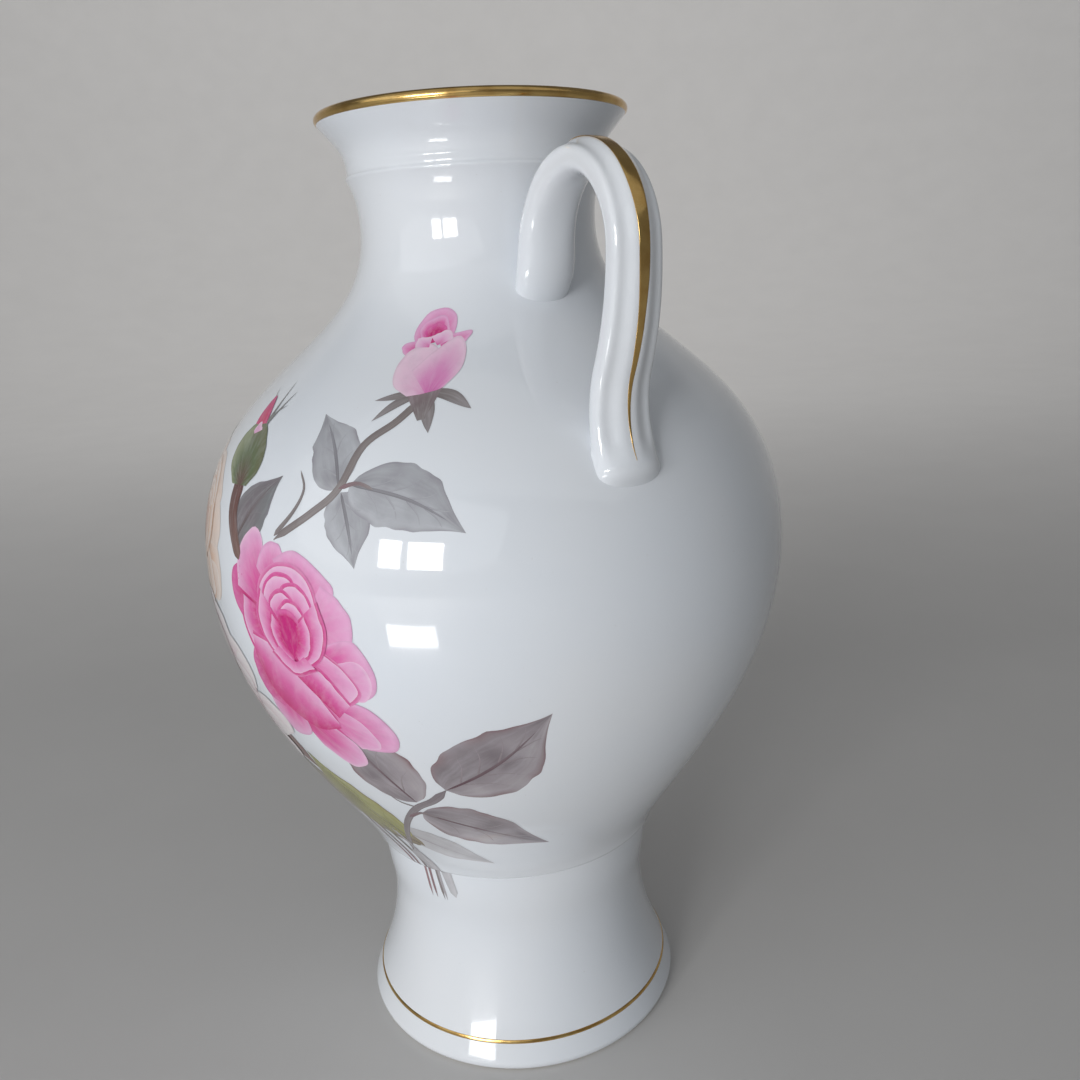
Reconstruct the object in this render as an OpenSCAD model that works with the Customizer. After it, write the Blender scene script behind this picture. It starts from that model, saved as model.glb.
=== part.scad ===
// Two-handled porcelain vase: pedestal foot, full body, flared mouth, two looped strap
// handles and fired gold trim. Millimetres, +Z up, the origin at the centre of the foot's
// resting face. The handles stand on +X and -X, and -Y is the front.

/* [Foot] */
// Height of the pedestal foot, up to the belly's rolled edge
foot_h = 69; // [64:0.5:76]
// Widest radius of the foot, just above the floor
foot_r = 55.6; // [50:0.1:62]
// Height of that widest point
foot_edge_z = 3.2; // [2:0.1:5]
// Radius of the foot where it is narrowest
foot_waist_r = 45; // [40:0.1:50]
// Height of the narrowest point
foot_waist_z = 44; // [36:0.5:50]
// How much the foot widens again from its waist to the belly
foot_top_flare = 2.4; // [1:0.1:4]
// Wall of the foot
foot_wall = 5; // [4:0.1:6.5]
// Width of the bare ring that rests on the table
foot_ring_w = 5; // [4:0.1:7]

/* [Body] */
// Radius of the belly at its fullest
belly_r = 93; // [85:0.5:100]
// Rise from the foot to the fullest point
belly_rise = 100; // [85:0.5:115]
// Rise from the fullest point to the narrowest part of the neck
shoulder_rise = 99; // [85:0.5:115]
// Radius of the rolled edge under the belly
roll_r = 2.8; // [2:0.1:4]
// How far the rolled edge stands out past the foot
roll_overhang = 0.6; // [0.2:0.1:2]
// Fullness of the belly below its widest point
belly_low_fullness = 45; // [35:0.5:52]
// Fullness of the belly where it leaves the rolled edge
belly_start_fullness = 17; // [12:0.5:24]
// Fullness of the shoulder above the widest point
shoulder_fullness = 61; // [50:0.5:66]
// Length of the sweep from shoulder to neck
neck_sweep = 39; // [30:0.5:46]
// Radius of the neck where it is narrowest
neck_r = 36.1; // [31:0.1:42]
// Wall of the body
body_wall = 4.5; // [3.5:0.1:5.5]
// Floor of the body, above the foot
body_floor = 6; // [5:0.1:8]

/* [Mouth] */
// Rise from the narrowest part of the neck to the small step under the mouth
throat_h = 15.2; // [12:0.1:19]
// How much wider the step is than the neck
step_flare = 3; // [2:0.1:4.5]
// How far the mouth is set in from the step
step_inset = 0.5; // [0.3:0.1:1]
// Height of the mouth, above the step
mouth_h = 16.8; // [13:0.1:22]
// How much wider the lip is than the step
lip_flare = 7.5; // [5:0.1:11]
// Thickness of the lip
lip_t = 3; // [2.6:0.1:3.6]
// Lean of the mouth at the lip, from upright
lip_lean = 40; // [30:1:48]

/* [Handles] */
// Width of the handle strap
strap_w = 16; // [13:0.5:19]
// Thickness of the handle strap at its ridge
strap_t = 9; // [8:0.25:10]
// Depth of the two grooves beside the ridge
groove_depth = 0.9; // [0.4:0.1:1.4]
// Where the outer leg meets the shoulder, below the narrowest part of the neck
outer_seat_drop = 63; // [55:0.5:72]
// Where the inner leg meets the neck's foot, likewise
inner_seat_drop = 21; // [18:0.5:25]
// Height of the arch's centre, likewise
arch_drop = 9; // [5:0.5:11]
// Lean of the outer leg towards the body, at its steepest
leg_lean = 24; // [18:0.5:28]
// Radius of the outward curl at the outer leg's end
curl_r = 28; // [22:0.5:34]
// Turn of that curl, from upright to where it meets the shoulder
curl_turn = 30; // [20:0.5:36]
// Lean of the inner leg where it meets the neck
neck_lean = 24; // [18:0.5:30]

/* [Gilding] */
// Thickness of the fired gold
gilt_t = 0.3; // [0.2:0.05:0.4]
// Depth of gold on the lip, below the top
rim_gilt_h = 2.7; // [2.4:0.1:3.6]
// Height of the gold line round the foot
foot_line_z = 9.8; // [8:0.1:13]
// Width of the gold line round the foot
foot_line_w = 1.2; // [0.8:0.1:2]
// Width of the gold on the handle's ridge at its widest
ridge_gilt_w = 3; // [2.4:0.1:3.4]
// Width of the gold at the thin end of its taper
ridge_gilt_tip_w = 0.6; // [0.4:0.1:1]

/* [Hidden] */
steps = 18;
arc_steps = 8;
section_steps = 15;

// Foot outline, from the widest point up to the waist, then on to the belly
foot_edge_round = foot_edge_z * 0.9;
foot_low = [[foot_r, foot_edge_z], [foot_r - 2.1, foot_edge_z + 5.8],
            [foot_waist_r, foot_waist_z * 0.55], [foot_waist_r, foot_waist_z]];
foot_top_r = foot_waist_r + foot_top_flare;
upper_h = foot_h - foot_waist_z;
foot_high = [[foot_waist_r, foot_waist_z], [foot_waist_r, foot_waist_z + upper_h * 0.32],
             [foot_top_r - foot_top_flare * 0.25, foot_h - upper_h * 0.6], [foot_top_r, foot_h]];

// Heights and widths that follow from the ones above
belly_z = foot_h + belly_rise;
neck_z = belly_z + shoulder_rise;
step_z = neck_z + throat_h;
vase_h = step_z + mouth_h;
step_r = neck_r + step_flare;
lip_r = step_r + lip_flare;

// Body outline: rolled edge, lower belly, shoulder, neck
roll_turn = 20;
roll_x = foot_top_r + roll_overhang;
roll_z = foot_h + roll_r;
belly_start = [roll_x + roll_r * cos(roll_turn), roll_z - roll_r * sin(roll_turn)];
belly_lean = [sin(roll_turn), cos(roll_turn)];
belly_low = [belly_start, belly_start + belly_start_fullness * belly_lean,
             [belly_r, belly_z - belly_low_fullness], [belly_r, belly_z]];
shoulder = [[belly_r, belly_z], [belly_r, belly_z + shoulder_fullness],
            [neck_r, neck_z - neck_sweep], [neck_r, neck_z]];
step_round = 0.6;
neck = [[neck_r, neck_z], [neck_r, neck_z + throat_h * 0.45],
        [step_r - step_flare * 0.57, step_z - throat_h * 0.26], [step_r, step_z - step_round]];

// Mouth outline, from the step to the lip
mouth_r = step_r - step_inset;
lip_mid = [lip_r - lip_t / 2, vase_h - lip_t / 2];
lip_low = lip_mid + lip_t / 2 * [cos(lip_lean), -sin(lip_lean)];
mouth_rise = lip_low[1] - step_z;
mouth = [[mouth_r, step_z], [mouth_r, step_z + mouth_rise * 0.46],
         lip_low - mouth_rise * 0.56 * [sin(lip_lean), cos(lip_lean)], lip_low];

// Handle: the bends follow one another, each starting square to the end of the last. The
// two seats on the body set how far apart the legs stand, and so the arch's radius.
arch_z = neck_z - arch_drop;
outer_seat = [shoulder_r(neck_z - outer_seat_drop), neck_z - outer_seat_drop];
inner_seat = [shoulder_r(neck_z - inner_seat_drop), neck_z - inner_seat_drop];
leg_bend_r = (arch_z - outer_seat[1] - curl_r * sin(curl_turn)) / sin(leg_lean) - curl_r;
leg_bend_x = outer_seat[0] + curl_r * cos(curl_turn) - (leg_bend_r + curl_r) * cos(leg_lean);
neck_bend_r = (arch_z - inner_seat[1]) / sin(neck_lean);
arch_out_x = leg_bend_x + leg_bend_r;
arch_in_x = inner_seat[0] + neck_bend_r * (1 - cos(neck_lean));
arch_r = (arch_out_x - arch_in_x) / 2;
arch_x = (arch_out_x + arch_in_x) / 2;
curl_x = leg_bend_x + (leg_bend_r + curl_r) * cos(leg_lean);
curl_z = arch_z - (leg_bend_r + curl_r) * sin(leg_lean);

// The inner leg runs on past its seat, before it is cut to the body
neck_bend_end = neck_lean + 20;

// The gold stops short of the seats
gilt_curl_end = curl_turn - 3;
gilt_end_z = curl_z - curl_r * sin(curl_turn - 7);
gilt_arch_end = 172;

// Cubic curve through four control points
function curve_at(p, t) =
    pow(1 - t, 3) * p[0] + 3 * pow(1 - t, 2) * t * p[1] + 3 * (1 - t) * t * t * p[2]
    + pow(t, 3) * p[3];

function curve_slope(p, t) =
    3 * pow(1 - t, 2) * (p[1] - p[0]) + 6 * (1 - t) * t * (p[2] - p[1])
    + 3 * t * t * (p[3] - p[2]);

// Point on a rising curve, moved outwards by d
function curve_off(p, t, d) =
    let (s = curve_slope(p, t))
    curve_at(p, t) + d * [s[1], -s[0]] / norm(s);

function curve(p, n, d = 0, t0 = 0, t1 = 1) =
    [for (i = [0 : n]) curve_off(p, t0 + (t1 - t0) * i / n, d)];

// Where a rising curve reaches height z
function curve_t(p, z, lo = 0, hi = 1, tries = 24) =
    let (mid = (lo + hi) / 2)
    tries == 0 ? mid
    : curve_at(p, mid)[1] < z ? curve_t(p, z, mid, hi, tries - 1)
    : curve_t(p, z, lo, mid, tries - 1);

function shoulder_r(z) = curve_at(shoulder, curve_t(shoulder, z))[0];

function arc(c, r, a0, a1, n) =
    [for (i = [0 : n]) let (a = a0 + (a1 - a0) * i / n) c + r * [cos(a), sin(a)]];

// A list without its first point, for joining on to one that already ends there
function tail(p) = [for (i = [1 : len(p) - 1]) p[i]];
function reversed(p) = [for (i = [len(p) - 1 : -1 : 0]) p[i]];

// The angle a bend of radius r needs to run one lap further
function turn(r) = lap / r * 180 / PI;

// The gold line's two ends on the foot's outline
line_t0 = curve_t(foot_low, foot_line_z - foot_line_w / 2);
line_t1 = curve_t(foot_low, foot_line_z + foot_line_w / 2);

function foot_line(d) = curve(foot_low, 2, d, line_t0, line_t1);

function foot_outside() = concat(
    [[foot_r - foot_ring_w, 0]],
    arc([foot_r - foot_edge_round, foot_edge_round], foot_edge_round, -90, 0, 6),
    curve(foot_low, 4, 0, 0, line_t0),
    tail(foot_line(0)),
    tail(curve(foot_low, steps, 0, line_t1, 1)),
    tail(curve(foot_high, 10)));

function foot_inside() = concat(
    curve(foot_low, 10, -foot_wall, curve_t(foot_low, foot_edge_z + 6), 1),
    tail(curve(foot_high, 8, -foot_wall, 0, 0.85)),
    [[foot_top_r - foot_wall, foot_h]]);

function body_outside() = concat(
    arc([roll_x, roll_z], roll_r, -90, -roll_turn, 6),
    tail(curve(belly_low, steps)),
    tail(curve(shoulder, steps + 6)),
    tail(curve(neck, 7)),
    tail(arc([step_r - step_round, step_z - step_round], step_round, 0, 90, 3)));

// The inside follows the outside at one wall's distance, down to a dished floor
inside_t0 = curve_t(belly_low, foot_h + body_floor + 4);
inside_low = curve_off(belly_low, inside_t0, -body_wall);
floor_z = foot_h + body_floor;
dish = [[inside_low[0] - 20, floor_z], [inside_low[0] - 10, floor_z],
        [inside_low[0] - 3, floor_z + 0.8], inside_low];

function body_inside() = concat(
    [[0, floor_z]],
    curve(dish, 5),
    tail(curve(belly_low, steps, -body_wall, inside_t0, 1)),
    tail(curve(shoulder, steps + 6, -body_wall)),
    tail(curve(neck, 5, -body_wall, 0, 0.85)),
    [[mouth_r - body_wall, step_z]]);

rim_gilt_t = curve_t(mouth, vase_h - rim_gilt_h);

function lip_band(d) = concat(
    curve(mouth, 2, d, rim_gilt_t, 1),
    tail(arc(lip_mid, lip_t / 2 + d, -lip_lean, 180 - lip_lean, arc_steps * 2)));

function mouth_wall(t) = body_wall + (lip_t - body_wall) * t;

function mouth_inside() =
    [for (i = [0 : 10]) curve_off(mouth, i / 10, -mouth_wall(i / 10))];

// Solid of revolution between an outside and an inside outline, both drawn upwards
module turned(outside, inside) {
    rotate_extrude() polygon(concat(outside, reversed(inside)));
}

module body_filled() {
    rotate_extrude() polygon(concat([[0, foot_h]], body_outside(), [[0, step_z]]));
}

// Half of the strap's section: x runs out from the bend's centre, y across the width
crest_a = asin(ridge_gilt_w / strap_w);
function bulge(v, e) = sign(v) * pow(abs(v), e);
function strap_point(a) =
    let (y = strap_w / 2 * bulge(sin(a), 0.9),
         groove = groove_depth * (1 - cos(360 * (y - ridge_gilt_w / 2) / (strap_w * 0.42))) / 2)
    [strap_t / 2 * bulge(cos(a), 0.75) - (cos(a) > 0 && y < strap_w * 0.51 ? groove : 0), y];
function strap_half() =
    [for (i = [0 : section_steps]) strap_point(crest_a + (180 - crest_a) * i / section_steps)];
function mirrored(p) = [for (q = p) [q[0], -q[1]]];

crest = strap_half()[0];

// Each bend runs a little way into the one before it, and is that much slimmer that its end
// stays inside: rank 0 for the arch, 1 for the bends off it, 2 for the curl
lap = 0.6;
slimmer = 0.008;

module strap_section(rank) {
    half = strap_half();
    polygon((1 - slimmer * rank) * concat(half, tail(reversed(mirrored(half)))));
}

// The ridge side of the section alone, turned about its middle for a rounded toe
module toe_section(rank) {
    half = [for (q = strap_half()) if (q[0] > 0.01) q];
    across = half[len(half) - 1][1];
    polygon((1 - slimmer * rank)
            * concat([[0, -across]], reversed(mirrored(half)), half, [[0, across]]));
}

module gilt_section(rank) {
    x0 = crest[0] + gilt_t * 0.1 * rank;
    x1 = crest[0] + gilt_t * (1 - 0.1 * rank);
    y = crest[1] - 0.05 * rank;
    polygon([[x0, -y], [x1, -y], [x1, y], [x0, y]]);
}

// One bend in the XZ plane about (x, z), from angle a0 to a1; flip it where the centre lies
// on the strap's ridge side
module bend(x, z, r, a0, a1, flip = false) {
    translate([x, 0, z])
    rotate([90, 0, 0])
    rotate([0, 0, a0])
    rotate_extrude(angle = a1 - a0)
    translate([r, 0])
    mirror([flip ? 1 : 0, 0])
    children();
}

module arch(a1) {
    bend(arch_x, arch_z, arch_r, 0, a1) children();
}

module leg_bend() {
    bend(leg_bend_x, arch_z, leg_bend_r, -leg_lean, turn(leg_bend_r)) children();
}

module curl(a1) {
    bend(curl_x, curl_z, curl_r, 180 - leg_lean - turn(curl_r), 180 + a1, true) children();
}

module toe() {
    bend(outer_seat[0], outer_seat[1], 0, curl_turn - 170, curl_turn + turn(strap_t / 2))
        children();
}

module neck_bend() {
    bend(arch_in_x - neck_bend_r, arch_z, neck_bend_r, -neck_bend_end, turn(neck_bend_r), true)
        children();
}

// The handle on +X, its feet cut to seat on the body
module handle() {
    difference() {
        union() {
            arch(180) strap_section(0);
            leg_bend() strap_section(1);
            curl(curl_turn) strap_section(2);
            toe() toe_section(3);
            neck_bend() strap_section(1);
        }
        rotate([0, 0, 90]) body_filled();
    }
}

// Outline, seen along X, that narrows the gold from height z1 down to height z0
module taper(z0, z1, x0, x1) {
    tip = ridge_gilt_tip_w / 2;
    wide = ridge_gilt_w / 2 + 0.4;
    top = arch_z + arch_r + strap_t;
    translate([x0, 0, 0])
    rotate([90, 0, 90])
    linear_extrude(x1 - x0)
    polygon([[-tip, z0], [tip, z0], [wide, z1], [wide, top], [-wide, top], [-wide, z1]]);
}

module handle_gilding() {
    intersection() {
        union() {
            arch(gilt_arch_end) gilt_section(0);
            leg_bend() gilt_section(1);
            curl(gilt_curl_end) gilt_section(2);
        }
        union() {
            taper(gilt_end_z, arch_z + 6, arch_x, arch_x + 60);
            taper(arch_z + 4, arch_z + 19, arch_x - 60, arch_x + 1);
        }
    }
}

module vase_foot() {
    color("white") turned(foot_outside(), foot_inside());
}

module vase_body() {
    color("white") turned(concat([[0, foot_h]], body_outside()), body_inside());
}

module vase_mouth() {
    color("white")
    turned(concat(curve(mouth, 10, 0, 0, rim_gilt_t), tail(lip_band(0))), mouth_inside());
}

module handle_right() {
    color("white") handle();
}

module handle_left() {
    color("white") mirror([1, 0, 0]) handle();
}

module rim_gilding() {
    color("gold") turned(lip_band(gilt_t), lip_band(0));
}

module foot_gilding() {
    color("gold") turned(foot_line(gilt_t), foot_line(0));
}

module handle_gilding_right() {
    color("gold") handle_gilding();
}

module handle_gilding_left() {
    color("gold") mirror([1, 0, 0]) handle_gilding();
}

vase_foot();
vase_body();
vase_mouth();
handle_left();
handle_right();
rim_gilding();
foot_gilding();
handle_gilding_left();
handle_gilding_right();
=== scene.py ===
"""A two-handled porcelain vase: turned foot, body and mouth, strap handles, fired gold and
a spray of roses in overglaze enamel. Metres, +Z up, the foot's resting face on z = 0."""
import math
import random

import bmesh
import bpy
import numpy as np
from mathutils import Matrix, Vector


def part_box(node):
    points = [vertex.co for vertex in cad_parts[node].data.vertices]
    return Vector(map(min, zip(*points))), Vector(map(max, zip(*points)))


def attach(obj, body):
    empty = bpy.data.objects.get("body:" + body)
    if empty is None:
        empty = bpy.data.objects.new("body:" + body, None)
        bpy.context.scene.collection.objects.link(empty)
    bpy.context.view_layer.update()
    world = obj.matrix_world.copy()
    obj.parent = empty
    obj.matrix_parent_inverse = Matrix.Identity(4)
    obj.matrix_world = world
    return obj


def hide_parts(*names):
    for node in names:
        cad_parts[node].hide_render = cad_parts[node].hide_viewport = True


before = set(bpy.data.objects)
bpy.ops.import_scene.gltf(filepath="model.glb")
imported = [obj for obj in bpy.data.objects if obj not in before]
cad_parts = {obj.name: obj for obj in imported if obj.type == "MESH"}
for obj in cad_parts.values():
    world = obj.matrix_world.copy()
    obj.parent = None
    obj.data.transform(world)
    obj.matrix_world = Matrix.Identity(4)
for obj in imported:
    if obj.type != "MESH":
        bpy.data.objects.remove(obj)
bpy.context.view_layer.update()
MM = 0.001


# ---------------------------------------------------------------- sizes

foot_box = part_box("vase_foot")
body_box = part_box("vase_body")
mouth_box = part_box("vase_mouth")

FOOT_R = foot_box[1].x / MM
FOOT_H = foot_box[1].z / MM
FOOT_EDGE_Z = 3.2
FOOT_WAIST_R = 45.0
FOOT_WAIST_Z = 44.0
FOOT_TOP_FLARE = 2.4
FOOT_WALL = 5.0
FOOT_RING_W = 5.0

BELLY_R = body_box[1].x / MM
BELLY_RISE = 100.0
SHOULDER_RISE = 99.0
BELLY_START_FULLNESS = 17.0
BELLY_LOW_FULLNESS = 45.0
SHOULDER_FULLNESS = 61.0
NECK_SWEEP = 39.0
ROLL_R = 2.8
ROLL_OVERHANG = 0.6
ROLL_TURN = 20.0
NECK_R = 36.1
STEP_FLARE = 3.0
STEP_ROUND = 1.2
STEP_INSET = 0.5
BODY_WALL = 4.5
BODY_FLOOR = 6.0

LIP_R = mouth_box[1].x / MM
LIP_T = 3.0
LIP_LEAN = 40.0
VASE_H = mouth_box[1].z / MM

STRAP_W = 16.0
STRAP_T = 9.0
GROOVE_DEPTH = 0.9
RIDGE_HALF_W = 1.5
GILT_T = 0.12
RIM_GILT_H = 2.7
FOOT_LINE_Z = 9.8
FOOT_LINE_W = 1.2
WELD = 1e-6           # points closer than this, in metres, become one

FOOT_TOP_R = FOOT_WAIST_R + FOOT_TOP_FLARE
BELLY_Z = FOOT_H + BELLY_RISE
NECK_Z = BELLY_Z + SHOULDER_RISE
STEP_Z = body_box[1].z / MM
STEP_R = NECK_R + STEP_FLARE
MOUTH_R = STEP_R - STEP_INSET


# ---------------------------------------------------------------- outlines, in millimetres

def cubic(p, n, t0=0.0, t1=1.0):
    """Points on the cubic curve through four control points."""
    t = np.linspace(t0, t1, n + 1)[:, None]
    p = np.array(p, float)
    return ((1 - t) ** 3 * p[0] + 3 * (1 - t) ** 2 * t * p[1]
            + 3 * (1 - t) * t ** 2 * p[2] + t ** 3 * p[3])


def arc(centre, r, a0, a1, n):
    """Points on an arc, from a0 to a1 degrees."""
    a = np.radians(np.linspace(a0, a1, n + 1))
    return np.array(centre) + r * np.stack([np.cos(a), np.sin(a)], -1)


def joined(*runs):
    """Runs of points end to end, without repeating a shared point."""
    out = [np.array(runs[0], float)]
    for run in runs[1:]:
        run = np.array(run, float)
        same = np.linalg.norm(out[-1][-1] - run[0]) < 1e-6
        out.append(run[1:] if same else run)
    return np.concatenate(out)


def inset(line, d):
    """The line moved to its left by d, which is inwards for an outline drawn upwards."""
    step = np.gradient(line, axis=0)
    step /= np.linalg.norm(step, axis=1)[:, None]
    return line + np.stack([-step[:, 1], step[:, 0]], -1) * np.reshape(d, (-1, 1))


foot_edge_round = FOOT_EDGE_Z * 0.9
foot_low = [(FOOT_R, FOOT_EDGE_Z), (FOOT_R - 2.1, FOOT_EDGE_Z + 5.8),
            (FOOT_WAIST_R, FOOT_WAIST_Z * 0.55), (FOOT_WAIST_R, FOOT_WAIST_Z)]
upper_h = FOOT_H - FOOT_WAIST_Z
foot_high = [(FOOT_WAIST_R, FOOT_WAIST_Z), (FOOT_WAIST_R, FOOT_WAIST_Z + upper_h * 0.32),
             (FOOT_TOP_R - 0.6, FOOT_H - upper_h * 0.6), (FOOT_TOP_R, FOOT_H)]
foot_curve = joined(cubic(foot_low, 60), cubic(foot_high, 30))
foot_outside = joined(
    [(FOOT_R - FOOT_RING_W, 0)],
    arc((FOOT_R - foot_edge_round, foot_edge_round), foot_edge_round, -90, 0, 10),
    foot_curve)
foot_inside = inset(foot_curve, FOOT_WALL)
foot_inside = foot_inside[(foot_inside[:, 1] > 9) & (foot_inside[:, 1] < FOOT_H - 3)]
foot_inside = joined(
    arc((FOOT_R - FOOT_RING_W - 0.4, 0.6), 0.6, 270, 180, 4),
    foot_inside,
    [(FOOT_TOP_R - FOOT_WALL, FOOT_H)])

roll_x = FOOT_TOP_R + ROLL_OVERHANG
roll_z = FOOT_H + ROLL_R
lean = np.array([math.sin(math.radians(ROLL_TURN)), math.cos(math.radians(ROLL_TURN))])
belly_start = np.array([roll_x + ROLL_R * lean[1], roll_z - ROLL_R * lean[0]])
belly_low = [belly_start, belly_start + BELLY_START_FULLNESS * lean,
             (BELLY_R, BELLY_Z - BELLY_LOW_FULLNESS), (BELLY_R, BELLY_Z)]
shoulder = [(BELLY_R, BELLY_Z), (BELLY_R, BELLY_Z + SHOULDER_FULLNESS),
            (NECK_R, NECK_Z - NECK_SWEEP), (NECK_R, NECK_Z)]
throat_h = STEP_Z - NECK_Z
neck = [(NECK_R, NECK_Z), (NECK_R, NECK_Z + throat_h * 0.45),
        (STEP_R - 1.7, STEP_Z - throat_h * 0.26), (STEP_R, STEP_Z - STEP_ROUND)]
body_curve = joined(cubic(belly_low, 70), cubic(shoulder, 90), cubic(neck, 24))
body_outside = joined(
    [(0, FOOT_H)],
    arc((roll_x, roll_z), ROLL_R, -90, -ROLL_TURN, 12),
    body_curve,
    arc((STEP_R - STEP_ROUND, STEP_Z - STEP_ROUND), STEP_ROUND, 0, 90, 5))
body_inside = inset(body_curve, BODY_WALL)[::2]
floor_z = FOOT_H + BODY_FLOOR
body_inside = body_inside[(body_inside[:, 1] > floor_z + 4) & (body_inside[:, 1] < STEP_Z - 3)]
inside_start = body_inside[0]
body_inside = joined(
    [(0, floor_z)],
    cubic([(inside_start[0] - 20, floor_z), (inside_start[0] - 10, floor_z),
           (inside_start[0] - 3, floor_z + 0.8), inside_start], 12),
    body_inside,
    [(MOUTH_R - BODY_WALL, STEP_Z)])

lip_mid = np.array([LIP_R - LIP_T / 2, VASE_H - LIP_T / 2])
lip_dir = np.array([math.cos(math.radians(LIP_LEAN)), -math.sin(math.radians(LIP_LEAN))])
lip_low = lip_mid + LIP_T / 2 * lip_dir
mouth_rise = lip_low[1] - STEP_Z
mouth = [(MOUTH_R, STEP_Z), (MOUTH_R, STEP_Z + mouth_rise * 0.46),
         lip_low - mouth_rise * 0.56 * np.array([-lip_dir[1], lip_dir[0]]), lip_low]
mouth_curve = cubic(mouth, 40)
lip_arc = arc(lip_mid, LIP_T / 2, -LIP_LEAN, 180 - LIP_LEAN, 16)
clear_of_step = mouth_curve[mouth_curve[:, 1] > STEP_Z + 2.0]
step_slip = cubic([(STEP_R - 0.33, STEP_Z - 0.36), (STEP_R - 0.75, STEP_Z + 0.1),
                   clear_of_step[0] - (0, 1.3), clear_of_step[0]], 14)
mouth_outside = joined([(MOUTH_R - 2, STEP_Z)], step_slip, clear_of_step, lip_arc)
mouth_inside = inset(mouth_curve, np.linspace(BODY_WALL, LIP_T, len(mouth_curve)))

# The whole outside, foot to lip, for what is painted on it
skin = joined(foot_curve, body_outside[1:], mouth_curve)
skin_s = np.concatenate([[0], np.cumsum(np.linalg.norm(np.diff(skin, axis=0), axis=1))])


def radius_at(z):
    """Outside radius of the body at height z."""
    return np.interp(z, body_outside[1:, 1], body_outside[1:, 0])


def along_at(z):
    """Length along the outside, from the foot's edge up to height z."""
    return np.interp(z, skin[:, 1], skin_s)


# ---------------------------------------------------------------- meshes

def placed(name, data):
    """An object at the origin for the data given."""
    obj = bpy.data.objects.new(name, data)
    bpy.context.scene.collection.objects.link(obj)
    return obj


def chain(name, points):
    """A chain of points, in millimetres, for a tree to read."""
    mesh = bpy.data.meshes.new(name + "_chain")
    mesh.from_pydata([tuple(c * MM for c in point) for point in points],
                     [(i, i + 1) for i in range(len(points) - 1)], [])
    return placed(name, mesh)


def tidy_shell(obj, weld=True):
    """Drops faces without area and turns every face outwards."""
    shell = bmesh.new()
    shell.from_mesh(obj.data)
    if weld:
        bmesh.ops.remove_doubles(shell, verts=shell.verts, dist=WELD)
    bmesh.ops.dissolve_degenerate(shell, edges=shell.edges, dist=WELD / 10)
    bmesh.ops.recalc_face_normals(shell, faces=shell.faces)
    shell.to_mesh(obj.data)
    shell.free()
    return obj


def feed(tree, socket, value):
    """Gives an input a plain value, or joins it to the output that carries one."""
    if isinstance(value, (int, float, str)):
        socket.default_value = value
    elif isinstance(value, tuple):
        socket.default_value = value + (1.0,) * (len(socket.default_value) - len(value))
    else:
        tree.links.new(value, socket)


class Tree:
    """A Geometry Nodes tree with its named inputs, and short hands for building it."""

    def __init__(self, name, *sockets):
        self.tree = bpy.data.node_groups.new(name, "GeometryNodeTree")
        self.inputs = {}
        for title, kind in (*sockets, ("Finish", "Material")):
            socket = self.tree.interface.new_socket(title, in_out="INPUT",
                                                    socket_type="NodeSocket" + kind)
            self.inputs[title] = socket.identifier
        self.tree.interface.new_socket("Made", in_out="OUTPUT",
                                       socket_type="NodeSocketGeometry")
        self.given = self.add("NodeGroupInput").outputs

    def add(self, kind, *fed, **settings):
        """A node with its settings, then (input, value) pairs for what is fed to it."""
        node = self.tree.nodes.new(kind)
        for key, value in settings.items():
            setattr(node, key, value)
        for key, value in fed:
            feed(self.tree, node.inputs[key], value)
        return node

    def maths(self, kind, *values):
        return self.add("ShaderNodeMath", *enumerate(values), operation=kind).outputs[0]

    def vectors(self, kind, *fed):
        return self.add("ShaderNodeVectorMath", *fed, operation=kind).outputs[0]

    def at_index(self, geometry, value, index, kind="FLOAT_VECTOR", clamp=False):
        """The value at a numbered point of some geometry."""
        return self.add("GeometryNodeSampleIndex", ("Geometry", geometry), ("Value", value),
                        ("Index", index), data_type=kind, clamp=clamp).outputs[0]

    def with_uv(self, mesh, across, along):
        """Keeps a grid's own two directions as its UV map."""
        flat = self.add("ShaderNodeCombineXYZ", (0, across), (1, along))
        uv = self.add("GeometryNodeStoreNamedAttribute", ("Geometry", mesh), ("Name", "UVMap"),
                      ("Value", flat.outputs[0]), data_type="FLOAT2", domain="CORNER")
        return uv.outputs[0]

    def moved(self, mesh, spot):
        return self.add("GeometryNodeSetPosition", ("Geometry", mesh),
                        ("Position", spot)).outputs[0]

    def ended(self, mesh):
        """The end of a tree: shaded smooth, realized, in the finish that was asked for."""
        smooth = self.add("GeometryNodeSetShadeSmooth", ("Geometry", mesh))
        whole = self.add("GeometryNodeRealizeInstances", (0, smooth.outputs[0]))
        done = self.add("GeometryNodeSetMaterial", ("Geometry", whole.outputs[0]),
                        ("Material", self.given["Finish"]))
        self.add("NodeGroupOutput", (0, done.outputs[0]))
        return self

    def work(self, obj, values):
        """Runs the tree on an object and keeps the plain mesh that comes out."""
        modifier = obj.modifiers.new(self.tree.name, "NODES")
        modifier.node_group = self.tree
        for title, value in values.items():
            modifier[self.inputs[title]] = value
        bpy.context.view_layer.update()
        made = bpy.data.meshes.new_from_object(
            obj.evaluated_get(bpy.context.evaluated_depsgraph_get()))
        obj.modifiers.clear()
        obj.data = made
        return obj


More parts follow.
